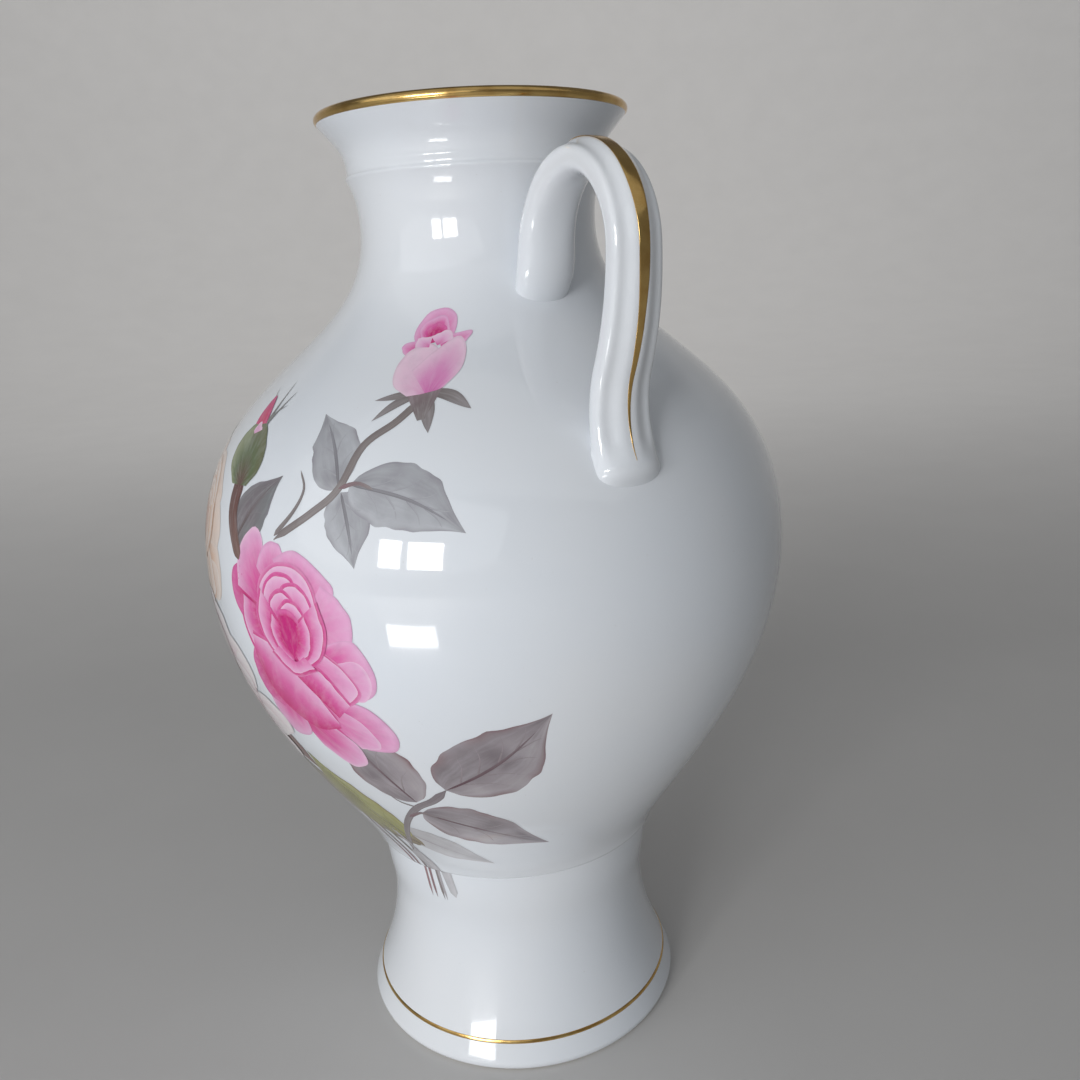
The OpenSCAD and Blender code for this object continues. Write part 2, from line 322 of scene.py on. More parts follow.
def turning_tree():
    """Turns an outline, a chain of points in the XZ plane, about Z. Each column of a grid
    becomes one position round the axis, each row one point of the outline."""
    made = Tree("Turned ware", ("Outline", "Geometry"), ("Steps around", "Int"),
                ("Weld distance", "Float"))
    add, maths, given = made.add, made.maths, made.given
    rows = add("GeometryNodeAttributeDomainSize",
               (0, given["Outline"])).outputs["Point Count"]
    grid = add("GeometryNodeMeshGrid", ("Vertices X", maths("ADD", given["Steps around"], 1)),
               ("Vertices Y", rows))
    index = add("GeometryNodeInputIndex").outputs[0]
    row = maths("MODULO", index, rows)
    column = maths("FLOOR", maths("DIVIDE", index, rows))
    turn = maths("DIVIDE", column, given["Steps around"])
    angle = maths("MULTIPLY", turn, math.tau)
    place = add("GeometryNodeInputPosition").outputs[0]
    point = add("ShaderNodeSeparateXYZ",
                (0, made.at_index(given["Outline"], place, row))).outputs
    spot = add("ShaderNodeCombineXYZ", (0, maths("MULTIPLY", point[0], maths("COSINE", angle))),
               (1, maths("MULTIPLY", point[0], maths("SINE", angle))), (2, point[2]))
    mapped = made.with_uv(grid.outputs["Mesh"], turn,
                          maths("DIVIDE", row, maths("SUBTRACT", rows, 1)))
    weld = add("GeometryNodeMergeByDistance",
               ("Geometry", made.moved(mapped, spot.outputs[0])),
               ("Distance", given["Weld distance"]))
    return made.ended(weld.outputs[0])


def sweep_tree():
    """Carries a section, drawn in the XY plane, along a path in the XZ plane. The path's
    points say which way the section's X faces (out), how much the section grows (wide across,
    thick outwards), how far it is raised and how far it turns into a second, plainer one."""
    made = Tree("Drawn strap", ("Path", "Geometry"), ("Section", "Object"),
                ("Plain section", "Object"))
    add, maths, path = made.add, made.maths, made.given["Path"]
    ring, plain_ring = (add("GeometryNodeObjectInfo", (0, made.given[title])).outputs["Geometry"]
                        for title in ("Section", "Plain section"))
    stations, corners = (
        add("GeometryNodeAttributeDomainSize", (0, line)).outputs["Point Count"]
        for line in (path, ring))
    grid = add("GeometryNodeMeshGrid", ("Vertices X", stations), ("Vertices Y", corners))
    index = add("GeometryNodeInputIndex").outputs[0]
    row = maths("MODULO", index, corners)
    column = maths("FLOOR", maths("DIVIDE", index, corners))
    place = add("GeometryNodeInputPosition").outputs[0]

    def of_path(name, kind="FLOAT"):
        stored = add("GeometryNodeInputNamedAttribute", ("Name", name), data_type=kind)
        return made.at_index(path, stored.outputs["Attribute"], column, kind)

    melted = add("ShaderNodeMix", (0, of_path("plain")), (4, made.at_index(ring, place, row)),
                 (5, made.at_index(plain_ring, place, row)), data_type="VECTOR").outputs[1]
    section = add("ShaderNodeSeparateXYZ", (0, melted)).outputs
    out_by = maths("ADD", maths("MULTIPLY", section[0], of_path("thick")), of_path("raised"))
    outwards = made.vectors("SCALE", (0, of_path("out", "FLOAT_VECTOR")), ("Scale", out_by))
    centre = made.vectors("ADD", (0, made.at_index(path, place, column)), (1, outwards))
    across = add("ShaderNodeCombineXYZ", (1, maths("MULTIPLY", section[1], of_path("wide"))))
    spot = made.vectors("ADD", (0, centre), (1, across.outputs[0]))
    mapped = made.with_uv(grid.outputs["Mesh"], maths("DIVIDE", row, corners),
                          maths("DIVIDE", column, stations))
    weld = add("GeometryNodeMergeByDistance", ("Geometry", made.moved(mapped, spot)),
               ("Distance", WELD))
    return made.ended(weld.outputs[0])


turned_ware = turning_tree()
drawn_strap = sweep_tree()


def turn_piece(name, outline, material, around=192):
    """One turned piece from a closed outline in millimetres, as a plain mesh."""
    points = [(r, 0, z) for r, z in outline]
    if outline[0][0] > WELD:
        points.append(points[0])
    made = turned_ware.work(chain(name, points), {
        "Steps around": around, "Weld distance": WELD, "Finish": material})
    return tidy_shell(made, weld=False)


def draw_strap(name, centres, outs, wide, thick, raised, plain, sections, material):
    """A section carried along a path, melting into a plainer one where plain rises to 1.
    Centres and sections are in millimetres."""
    path = chain(name, [(x, 0, z) for x, z in centres])
    out = path.data.attributes.new("out", "FLOAT_VECTOR", "POINT")
    out.data.foreach_set("vector", np.stack([outs[:, 0], outs[:, 0] * 0, outs[:, 1]], -1).ravel())
    for key, values in (("wide", wide), ("thick", thick), ("raised", np.asarray(raised) * MM),
                        ("plain", plain)):
        path.data.attributes.new(key, "FLOAT", "POINT").data.foreach_set(
            "value", np.broadcast_to(values, len(centres)).astype(float))
    rings = [chain(name + "_section", [(x, y, 0) for x, y in (*section, section[0])])
             for section in (sections[0], sections[-1])]
    strap = drawn_strap.work(path, {"Section": rings[0], "Plain section": rings[1],
                                    "Finish": material})
    for ring in rings:
        bpy.data.objects.remove(ring)
    return tidy_shell(strap)


# ---------------------------------------------------------------- finishes

def finish_material(name):
    """A new material, its tree, its surface node and the piece's own coordinates."""
    material = bpy.data.materials.new(name)
    material.use_nodes = True
    tree = material.node_tree
    tree.nodes.clear()
    out = tree.nodes.new("ShaderNodeOutputMaterial")
    skin_node = tree.nodes.new("ShaderNodeBsdfPrincipled")
    tree.links.new(skin_node.outputs[0], out.inputs[0])
    place = tree.nodes.new("ShaderNodeTexCoord").outputs["Object"]
    return material, tree, skin_node, place


def noise(tree, place, scale, detail=3.0, rough=0.5, squash=None):
    """Noise over the piece; squash stretches it along one axis."""
    if squash:
        squashed = tree.nodes.new("ShaderNodeVectorMath")
        squashed.operation = "MULTIPLY"
        squashed.inputs[1].default_value = squash
        tree.links.new(place, squashed.inputs[0])
        place = squashed.outputs[0]
    node = tree.nodes.new("ShaderNodeTexNoise")
    node.inputs["Scale"].default_value = scale
    node.inputs["Detail"].default_value = detail
    node.inputs["Roughness"].default_value = rough
    tree.links.new(place, node.inputs["Vector"])
    return node.outputs[0]


def spread(tree, value, low, high, at_low=0.0, at_high=1.0):
    """A value's range from low to high, stretched over at_low to at_high."""
    node = tree.nodes.new("ShaderNodeMapRange")
    for key, number in (("From Min", low), ("From Max", high), ("To Min", at_low),
                        ("To Max", at_high)):
        node.inputs[key].default_value = number
    tree.links.new(value, node.inputs["Value"])
    return node.outputs[0]


def blended(tree, factor, a, b, how="MIX"):
    """Two colours mixed; each is a colour or an output."""
    node = tree.nodes.new("ShaderNodeMix")
    node.data_type = "RGBA"
    node.blend_type = how
    node.clamp_factor = True
    for key, value in ((0, factor), (6, a), (7, b)):
        feed(tree, node.inputs[key], value)
    return node.outputs[2]


def bumped(tree, skin_node, height, distance, strength=1.0, before=None):
    """Relief of the height given, over an earlier relief if there is one."""
    node = tree.nodes.new("ShaderNodeBump")
    node.inputs["Strength"].default_value = strength
    node.inputs["Distance"].default_value = distance
    tree.links.new(height, node.inputs["Height"])
    if before:
        tree.links.new(before, node.inputs["Normal"])
    tree.links.new(node.outputs[0], skin_node.inputs["Normal"])
    return node.outputs[0]


def uneven(tree, place, scale, detail, low, high):
    """A value that wanders between low and high over the piece."""
    return spread(tree, noise(tree, place, scale, detail), 0.3, 0.7, low, high)


def under_clear_glaze(tree, skin_node, place, texture, depth, strength):
    """The wet shine of glaze over a slow swell and a finer texture."""
    for key, value in (("IOR", 1.54), ("Coat Weight", 0.35), ("Coat Roughness", 0.02)):
        skin_node.inputs[key].default_value = value
    swell = bumped(tree, skin_node, noise(tree, place, 22.0, 2.0), 0.0006, 0.35)
    bumped(tree, skin_node, texture, depth, strength, before=swell)


GLAZE_COLD = (0.755, 0.80, 0.86)
GLAZE_WARM = (0.80, 0.825, 0.86)
BISCUIT = (0.80, 0.77, 0.72)
BISCUIT_ROUGHNESS = 0.75
BISCUIT_H = (0.0006, 0.0010)
PINHOLE = (0.55, 0.52, 0.5)
GOLD_BRIGHT = (0.76, 0.51, 0.19)
GOLD_WORN = (0.54, 0.31, 0.09)
POOLED = (0.82, 0.80, 0.82)


def glazed_porcelain():
    """Cool white body under a clear glaze, bare biscuit where it stands."""
    material, tree, skin_node, place = finish_material("glazed_porcelain")
    clouds = noise(tree, place, 9.0, 4.0)
    tone = blended(tree, spread(tree, clouds, 0.35, 0.65), GLAZE_COLD, GLAZE_WARM)
    pinholes = noise(tree, place, 900.0, 1.0)
    tone = blended(tree, spread(tree, pinholes, 0.78, 0.84, 0.0, 0.25), tone, PINHOLE)
    height = tree.nodes.new("ShaderNodeSeparateXYZ")
    tree.links.new(place, height.inputs[0])
    bare = spread(tree, height.outputs[2], *BISCUIT_H, 1.0, 0.0)
    tree.links.new(blended(tree, bare, tone, BISCUIT), skin_node.inputs["Base Color"])
    rough = tree.nodes.new("ShaderNodeMix")
    for key, value in ((0, bare), (2, uneven(tree, place, 60.0, 3.0, 0.045, 0.085)),
                       (3, BISCUIT_ROUGHNESS)):
        feed(tree, rough.inputs[key], value)
    tree.links.new(rough.outputs[0], skin_node.inputs["Roughness"])
    turning_rings = noise(tree, place, 30.0, 2.0, squash=(0.12, 0.12, 6.0))
    under_clear_glaze(tree, skin_node, place, turning_rings, 0.00012, 0.25)
    return material


def fired_gold():
    """Burnished gold, brushed on and slightly uneven."""
    material, tree, skin_node, place = finish_material("fired_gold")
    worn = noise(tree, place, 160.0, 5.0)
    tone = blended(tree, spread(tree, worn, 0.4, 0.75), GOLD_BRIGHT, GOLD_WORN)
    tree.links.new(tone, skin_node.inputs["Base Color"])
    skin_node.inputs["Metallic"].default_value = 1.0
    feed(tree, skin_node.inputs["Roughness"], uneven(tree, place, 420.0, 4.0, 0.10, 0.26))
    bumped(tree, skin_node, noise(tree, place, 700.0, 3.0), 0.00003, 0.5)
    return material


def overglaze_enamel():
    """Colours from the brush, washed thin and thick, fired into the glaze."""
    material, tree, skin_node, place = finish_material("overglaze_enamel")
    paint = tree.nodes.new("ShaderNodeAttribute")
    paint.attribute_name = "paint"
    stroke = tree.nodes.new("ShaderNodeUVMap")
    stroke.uv_map = "UVMap"
    streaks = noise(tree, stroke.outputs[0], 1.0, 4.0, 0.6, squash=(8.0, 2.2, 1.0))
    washed = blended(tree, spread(tree, streaks, 0.45, 0.75, 0.0, 0.16), paint.outputs["Color"],
                     GLAZE_WARM)
    pooled = noise(tree, place, 260.0, 4.0, 0.6)
    deep = blended(tree, 1.0, washed, POOLED, "MULTIPLY")
    tone = blended(tree, spread(tree, pooled, 0.48, 0.8, 0.0, 0.55), washed, deep)
    tree.links.new(tone, skin_node.inputs["Base Color"])
    feed(tree, skin_node.inputs["Roughness"], uneven(tree, place, 300.0, 3.0, 0.07, 0.15))
    under_clear_glaze(tree, skin_node, place, pooled, 0.00002, 0.4)
    return material


porcelain = glazed_porcelain()
gold = fired_gold()
enamel = overglaze_enamel()


# ---------------------------------------------------------------- foot, body, mouth

for piece_name, outside, inside, around in (
        ("porcelain_foot", foot_outside, foot_inside, 192),
        ("porcelain_body", body_outside, body_inside, 256),
        ("porcelain_mouth", mouth_outside, mouth_inside, 192)):
    turn_piece(piece_name, joined(outside, inside[::-1]), porcelain, around)


def band(curve_part, height):
    """Closed outline of a film lying on part of an outline, thinning out at both ends."""
    n = len(curve_part)
    rise = height * np.minimum(1, np.minimum(np.arange(n), np.arange(n)[::-1]) / 2.0)
    return joined(inset(curve_part, -rise), inset(curve_part, rise * 0 + 0.05)[::-1])


fine_mouth = cubic(mouth, 400)
fine_foot = cubic(foot_low, 900)
rim_part = joined(fine_mouth[fine_mouth[:, 1] > VASE_H - RIM_GILT_H][::6], lip_arc)
line_part = fine_foot[np.abs(fine_foot[:, 1] - FOOT_LINE_Z) < FOOT_LINE_W / 2][::4]
turn_piece("gilded_rim", band(rim_part, GILT_T), gold)
turn_piece("gilded_foot_line", band(line_part, GILT_T), gold)


# ---------------------------------------------------------------- handles

ARCH_DROP = 9.0
OUTER_SEAT_DROP = 63.0
INNER_SEAT_DROP = 21.0
ARCH_Z = NECK_Z - ARCH_DROP
LEG_LEAN = math.radians(24)
CURL_R = 28.0
CURL_TURN = math.radians(30)
NECK_LEAN = math.radians(24)
NECK_END_LEAN = 40    # how far, in degrees, the inner end swings into the body
TOE_L = STRAP_T / 2
TOE_STEPS = 14
INNER_CAP_L = 27.0    # length over which the inner end of a handle is rounded off
SHOULDER_Z = 210.0    # the handles' inner ends sit above this height, their toes below
FOOT_LIFT = 2.6       # how far the swollen inner end stands off its own path


def seat(drop):
    """The point of the outline that lies drop below the neck's narrowest part."""
    return np.array([radius_at(NECK_Z - drop), NECK_Z - drop])


outer_seat, inner_seat = seat(OUTER_SEAT_DROP), seat(INNER_SEAT_DROP)
leg_r = ((ARCH_Z - outer_seat[1] - CURL_R * math.sin(CURL_TURN)) / math.sin(LEG_LEAN) - CURL_R)
leg_x = (outer_seat[0] + CURL_R * math.cos(CURL_TURN)
         - (leg_r + CURL_R) * math.cos(LEG_LEAN))
neck_bend_r = (ARCH_Z - inner_seat[1]) / math.sin(NECK_LEAN)
arch_in = inner_seat[0] + neck_bend_r * (1 - math.cos(NECK_LEAN))
arch_r = (leg_x + leg_r - arch_in) / 2
arch_x = (leg_x + leg_r + arch_in) / 2
curl_at = (leg_x + (leg_r + CURL_R) * math.cos(LEG_LEAN),
           ARCH_Z - (leg_r + CURL_R) * math.sin(LEG_LEAN))


def handle_path():
    """Centres and outward directions from the inner seat over the arch to the outer toe."""
    runs = []
    for centre, r, a0, a1, side in (
            ((arch_in - neck_bend_r, ARCH_Z), neck_bend_r, -NECK_END_LEAN, 0, -1),
            ((arch_x, ARCH_Z), arch_r, 180, 0, 1),
            ((leg_x, ARCH_Z), leg_r, 0, -math.degrees(LEG_LEAN), 1),
            (curl_at, CURL_R, 180 - math.degrees(LEG_LEAN), 180 + math.degrees(CURL_TURN), -1)):
        n = max(6, int(abs(math.radians(a1 - a0)) * r))
        a = np.radians(np.linspace(a0, a1, n + 1))
        spoke = np.stack([np.cos(a), np.sin(a)], -1)
        runs.append((np.array(centre) + r * spoke, side * spoke))
    centres = np.concatenate([run[0][(1 if i else 0):] for i, run in enumerate(runs)])
    outs = np.concatenate([run[1][(1 if i else 0):] for i, run in enumerate(runs)])
    ahead = centres[-1] - centres[-2]
    ahead /= np.linalg.norm(ahead)
    toe = TOE_L * np.sin(np.linspace(0, math.pi / 2, TOE_STEPS + 1))[1:, None]
    centres = np.concatenate([centres, centres[-1] + toe * ahead])
    outs = np.concatenate([outs, np.repeat(outs[-1:], TOE_STEPS, axis=0)])
    return centres, outs


def strap_section(groove=GROOVE_DEPTH, flatness=0.75, fullness=0.9, n=72):
    """Flat oval with a ridge along its outer side, a hollow on each side of the ridge."""
    a = np.linspace(0, math.tau, n, endpoint=False) + math.pi / n

    def power(v, e):
        return np.sign(v) * np.abs(v) ** e

    y = STRAP_W / 2 * power(np.sin(a), fullness)
    hollow = groove * (1 - np.cos(math.tau * np.clip(
        (np.abs(y) - RIDGE_HALF_W) / (STRAP_W * 0.42), 0, 1))) / 2
    x = STRAP_T / 2 * power(np.cos(a), flatness) - np.where(np.cos(a) > 0, hollow, 0)
    return np.stack([x, y], -1)


def seat_on_ware(obj, slip=0.7, reach=3.4, deepest=2.4):
    """Spreads the strap with slip where it meets the body, and keeps its hidden end in the
    body's wall."""
    mesh = obj.data
    co = np.empty(len(mesh.vertices) * 3)
    mesh.vertices.foreach_get("co", co)
    normal = np.empty(len(co))
    mesh.vertices.foreach_get("normal", normal)
    co, normal = co.reshape(-1, 3) / MM, normal.reshape(-1, 3)
    ring = np.hypot(co[:, 0], co[:, 1])
    slope = np.gradient(body_outside[1:], axis=0)
    step_at = np.interp(co[:, 2], body_outside[1:, 1], np.arange(len(slope)))
    dr, dz = (np.interp(step_at, np.arange(len(slope)), part) for part in slope.T)
    size = np.hypot(dr, dz)
    up = np.stack([dz / size * co[:, 0] / ring, dz / size * co[:, 1] / ring, -dr / size], -1)
    above = (ring - radius_at(co[:, 2])) * dz / size
    along = normal - up * np.sum(normal * up, axis=1)[:, None]
    spread_by = slip * np.clip(1 - above / reach, 0, 1.1) ** 3
    spread_by *= np.where(co[:, 2] > SHOULDER_Z, 0.2, 1.0)
    co += along * spread_by[:, None]
    sunk = np.clip(-deepest - above, 0, None)
    co += up * sunk[:, None]
    mesh.vertices.foreach_set("co", (co * MM).ravel())
    mesh.update()
    return obj


centres, outs = handle_path()
lengths = np.concatenate([[0], np.cumsum(np.linalg.norm(np.diff(centres, axis=0), axis=1))])
strap_end = lengths[-1 - TOE_STEPS]
toe_q = np.clip((lengths - strap_end) / TOE_L, 0, 1)
drawn_out = np.interp(lengths / lengths[-1], (0, 0.07, 0.17, 0.32, 0.6, 0.8, 0.97, 1),
                      (1.32, 1.23, 0.97, 0.86, 0.87, 0.97, 1.10, 1.10))
drawn_out = np.convolve(np.pad(drawn_out, 6, "edge"), np.ones(13) / 13, "valid")
strap_wide = drawn_out * (1 - toe_q ** 2.2) ** (1 / 2.2)
foot_swell = np.clip((36 - lengths) / 28, 0, 1) ** 1.5
strap_thick = (1 + 0.25 * foot_swell) * (1 - toe_q ** 2) ** 0.5
inner_q = 1 - np.clip(lengths / INNER_CAP_L, 0, 1)
inner_cap = (1 - inner_q ** 2.4) ** (1 / 2.4)
strap_plain = np.maximum(np.clip((lengths - strap_end + 9) / 10, 0, 1),
                         np.clip((30 - lengths) / 16, 0, 1))
strap_plain = strap_plain ** 2 * (3 - 2 * strap_plain)
porcelain_handle_right = seat_on_ware(draw_strap(
    "porcelain_handle_right", centres, outs, strap_wide * inner_cap, strap_thick * inner_cap,
    FOOT_LIFT * foot_swell, strap_plain, (strap_section(), strap_section(0.0, 1.0, 1.0)),
    porcelain))


def gold_ridge():
    """The gold along the ridge: widest over the crown, drawn out to hairs at both ends."""
    places = np.array((0.17, 0.27, 0.36, 0.5, 0.6, 0.71, 0.82, 0.92, 0.97)) * lengths[-1]
    halves = (0.06, 1.0, 1.8, 1.9, 1.5, 1.05, 0.55, 0.22, 0.05)
    keep = (lengths > places[0]) & (lengths < places[-1])
    s = lengths[keep]
    half = np.interp(s, places, halves) + 0.06 * np.sin(s * 0.35) * (s < places[5])
    a = np.linspace(0, math.tau, 12, endpoint=False)
    lens = np.stack([0.1 * np.cos(a), np.sin(a)], -1)
    raised = STRAP_T / 2 * strap_thick[keep] + 0.03
    return centres[keep], outs[keep], half, 1.0, raised, 0.0, (lens,)


gilded_handle_right = draw_strap("gilded_handle_right", *gold_ridge(), gold)


def other_side(obj, name):
    """The same piece mirrored to the -X side."""
    twin = placed(name, obj.data.copy())
    twin.data.transform(Matrix.Scale(-1, 4, (1, 0, 0)))
    return tidy_shell(twin)


other_side(porcelain_handle_right, "porcelain_handle_left")
other_side(gilded_handle_right, "gilded_handle_left")


# ---------------------------------------------------------------- painting

def laying_tree():
    """Lays a flat painting on the ware. The painting's X runs round the ware, its Y up along
    the outline from a chosen start, its Z stands off the glaze."""
    made = Tree("Laid on the ware", ("Painting", "Geometry"), ("Outline", "Object"),
                ("Step", "Float"), ("Start", "Float"), ("Facing", "Float"))
    add, maths, given = made.add, made.maths, made.given
    outline = add("GeometryNodeObjectInfo", (0, given["Outline"])).outputs["Geometry"]
    place = add("GeometryNodeInputPosition").outputs[0]
    flat = add("ShaderNodeSeparateXYZ", (0, place)).outputs
    steps_up = maths("DIVIDE", maths("ADD", flat[1], given["Start"]), given["Step"])
    below = maths("FLOOR", steps_up)
    part = maths("SUBTRACT", steps_up, below)

    def outline_at(index):
        point = made.at_index(outline, place, index, clamp=True)
        split = add("ShaderNodeSeparateXYZ", (0, point)).outputs
        return split[0], split[2]

    r0, z0 = outline_at(below)
    r1, z1 = outline_at(maths("ADD", below, 1))
    dr, dz = maths("SUBTRACT", r1, r0), maths("SUBTRACT", z1, z0)
    length = maths("SQRT", maths("ADD", maths("MULTIPLY", dr, dr), maths("MULTIPLY", dz, dz)))
    r = maths("ADD", r0, maths("MULTIPLY", dr, part))
    z = maths("ADD", z0, maths("MULTIPLY", dz, part))
    angle = maths("ADD", given["Facing"], maths("DIVIDE", flat[0], r))
    off = maths("DIVIDE", flat[2], length)
    out_r = maths("ADD", r, maths("MULTIPLY", off, dz))
    out_z = maths("SUBTRACT", z, maths("MULTIPLY", off, dr))
    forward = maths("MULTIPLY", maths("COSINE", angle), -1)
    spot = add("ShaderNodeCombineXYZ", (0, maths("MULTIPLY", out_r, maths("SINE", angle))),
               (1, maths("MULTIPLY", out_r, forward)), (2, out_z))
    return made.ended(made.moved(given["Painting"], spot.outputs[0]))


laid_on_ware = laying_tree()
OUTLINE_STEP = 0.4
SPRAY_FACING = math.radians(29)
SPRAY_START = along_at(168.0)
ware_outline = chain("ware_outline", [
    (np.interp(s, skin_s, skin[:, 0]), 0, np.interp(s, skin_s, skin[:, 1]))
    for s in np.arange(0, skin_s[-1], OUTLINE_STEP)])

brush = random.Random(11)
THIN_COAT = 0.025
COAT = 0.004


def ink(red, green, blue):
    """A colour on the usual 0 to 255 scale, as the light it sends back."""
    c = np.array([red, green, blue]) / 255
    return np.where(c < 0.04045, c / 12.92, ((c + 0.055) / 1.055) ** 2.4)


def through(points, n):
    """A smooth line through the points given."""
    p = np.array(points, float)
    if len(p) == 1:
        return np.repeat(p, n, axis=0)
    if len(p) == 2:
        return p[0] + (p[1] - p[0]) * np.linspace(0, 1, n)[:, None]
    q = np.concatenate([[2 * p[0] - p[1]], p, [2 * p[-1] - p[-2]]])
    gaps = np.linalg.norm(np.diff(p, axis=0), axis=1)
    want = np.interp(np.linspace(0, gaps.sum(), n), np.concatenate([[0], np.cumsum(gaps)]),
                     np.arange(len(p)))
    i = np.minimum(want.astype(int), len(p) - 2)
    t = (want - i)[:, None]
    a, b, c, d = q[i], q[i + 1], q[i + 2], q[i + 3]
    return 0.5 * (2 * b + (c - a) * t + (2 * a - 5 * b + 4 * c - d) * t ** 2
                  + (3 * b - a - 3 * c + d) * t ** 3)


def ramp(t, *stops):
    """Colour at t along (place, colour) stops."""
    places = [s[0] for s in stops]
    return np.stack([np.interp(t, places, [s[1][k] for s in stops]) for k in range(3)], -1)


def ripple(n, waves, size):
    """A soft uneven line of n values about 0, for streaks of the brush."""
    x = np.linspace(0, 1, n)
    total = x * 0
    for k in range(1, waves + 1):
        total += math.sqrt(1 / k) * np.sin(math.tau * (k * x * 1.3 + brush.random()))
    return size * total / math.sqrt(waves)


class Sheet:
    """One painted piece while it is drawn flat."""

    def __init__(self, lift=THIN_COAT, coat=COAT):
        self.verts, self.faces, self.uvs, self.tones = [], [], [], []
        self.coat = coat
        self.lift = self.first = lift

    def lay(self, grid, tones, over=0.0):
        """Adds a grid of points (across, along, 2) with a colour at each. It lies over the
        coats before it, or at a set height over the sheet's first coat."""
        nu, nv = grid.shape[:2]
        first = len(self.verts)
        if not over:
            self.lift += self.coat
        lift = self.first + over if over else self.lift
        for i in range(nu):
            for j in range(nv):
                self.verts.append((grid[i, j, 0] * MM, grid[i, j, 1] * MM, lift * MM))
                self.uvs.append((i / (nu - 1) + first * 0.37 % 7, j / (nv - 1)))
                self.tones.append((*np.clip(tones[i, j], 0, 1), 1))
        p = grid
        turn = np.sum((p[1:, :-1, 0] - p[:-1, :-1, 0]) * (p[:-1, 1:, 1] - p[:-1, :-1, 1])
                      - (p[1:, :-1, 1] - p[:-1, :-1, 1]) * (p[:-1, 1:, 0] - p[:-1, :-1, 0]))
        for i in range(nu - 1):
            for j in range(nv - 1):
                a = first + i * nv + j
                quad = (a, a + nv, a + nv + 1, a + 1)
                self.faces.append(quad if turn > 0 else quad[::-1])

    def petal(self, root, rim, deep, mid, pale, edge=None, reach=0.55, under=None, nu=26,
              nv=16):
        """A petal from its root line to its rim, deep at the root and pale at the rim. under
        is the shade it throws on what lies behind it."""
        a, b = through(root, nu), through(rim, nu)
        if under is not None:
            out = b - a
            far = b + 1.1 * out / (np.linalg.norm(out, axis=1)[:, None] + 1e-6)
            v = np.array([0, 0.5, 0.8, 0.9, 0.96, 1.0])
            shadow = a[:, None] + (far - a)[:, None] * v[None, :, None]
            fade = np.array([0, 0, 0, 0.1, 0.5, 1.0])[None, :, None]
            behind = np.array(mid, float)
            self.lay(shadow, np.ones((nu, 1, 1)) * (under * (1 - fade) + behind * fade))
        b = b + ripple(nu, 5, 0.22)[:, None] * (b - a) / (
            np.linalg.norm(b - a, axis=1)[:, None] + 1e-6)
        v = np.linspace(0, 1, nv)
        grid = a[:, None] + (b - a)[:, None] * v[None, :, None]
        shade = np.clip(v[None] + ripple(nu, 9, 0.07)[:, None] * (1 - v[None]), 0, 1)
        tones = ramp(shade, (0, deep), (reach, mid), (0.93, pale), (1, pale))
        u = np.abs(np.linspace(-1, 1, nu))[:, None, None]
        tones = tones * (1 - 0.16 * u ** 3) + mid * (0.16 * u ** 3)
        line = pale * 0.82 if edge is None else edge
        tones[:, -1] = tones[:, -1] * 0.35 + np.array(line) * 0.65
        self.lay(grid, tones)

    def leaf(self, root, tip, left, right, dark, light, edge, bend=0.0, vein=None, veins=3,
             widest=0.37, nu=19, nv=40):
        """A leaf blade with its midrib and side veins. left and right are half widths."""
        root, tip = np.array(root, float), np.array(tip, float)
        ahead_by = tip - root
        side = np.array([-ahead_by[1], ahead_by[0]]) / np.linalg.norm(ahead_by)
        t = np.linspace(0, 1, nv)
        mid_line = root + ahead_by * t[:, None] + side * (bend * np.sin(math.pi * t))[:, None]
        power = math.log(0.5) / math.log(widest)
        swell = np.sin(math.pi * t ** power) ** 0.8
        swell *= 1 - 0.62 * np.clip((t - 0.64) / 0.36, 0, 1) ** 1.1
        u = np.linspace(-1, 1, nu)
        wave = 1 + np.where(u[:, None] < 0, ripple(nv, 6, 0.06)[None], ripple(nv, 6, 0.06)[None])
        reach = np.where(u[:, None] < 0, right, left) * u[:, None] * swell[None] * wave
        grid = mid_line[None] + side * reach[..., None]
        cloud = (ripple(nv, 3, 0.26)[None] * np.cos(u[:, None] * 2)
                 + ripple(nv, 4, 0.14)[None] * np.sin(u[:, None] * 3)
                 + ripple(nu, 3, 0.05)[:, None])
        wash = np.clip(0.45 + 0.28 * np.sin(u[:, None] * 2.2 + 0.8) + cloud, 0, 1)
        tones = dark * wash[..., None] + light * (1 - wash[..., None])
        rim_part = np.clip((np.abs(u[:, None]) - 0.7) / 0.3, 0, 1)[..., None] ** 1.6
        rust = np.clip(0.5 + ripple(nv, 3, 0.5), 0, 0.9)[None, :, None]
        tones = tones * (1 - rust * rim_part) + edge * rust * rim_part
        self.lay(grid, tones)
        rib = edge * 0.62 if vein is None else vein
        mean = tones.mean((0, 1))
        over = self.lift - self.first
        for k in range(veins):
            start = 0.14 + 0.5 * k / max(1, veins - 1)
            for way, half in ((1, left), (-1, right)):
                i = int(start * (nv - 1))
                j = min(nv - 1, int((start + 0.2) * (nv - 1)))
                stop = mid_line[j] + side * way * half * swell[j] * 0.72
                bow = (mid_line[i] + stop) / 2 + ahead_by * 0.04
                self.line(through([mid_line[i], bow, stop], 9), 0.32, 0.1,
                          rib * 0.28 + mean * 0.72, mean, over=over + 0.5 * COAT)
        self.line(mid_line[: int(nv * 0.86)], 0.3, 0.08, rib, rib * 0.5 + mean * 0.5,
                  swell=0.28, over=over + COAT)

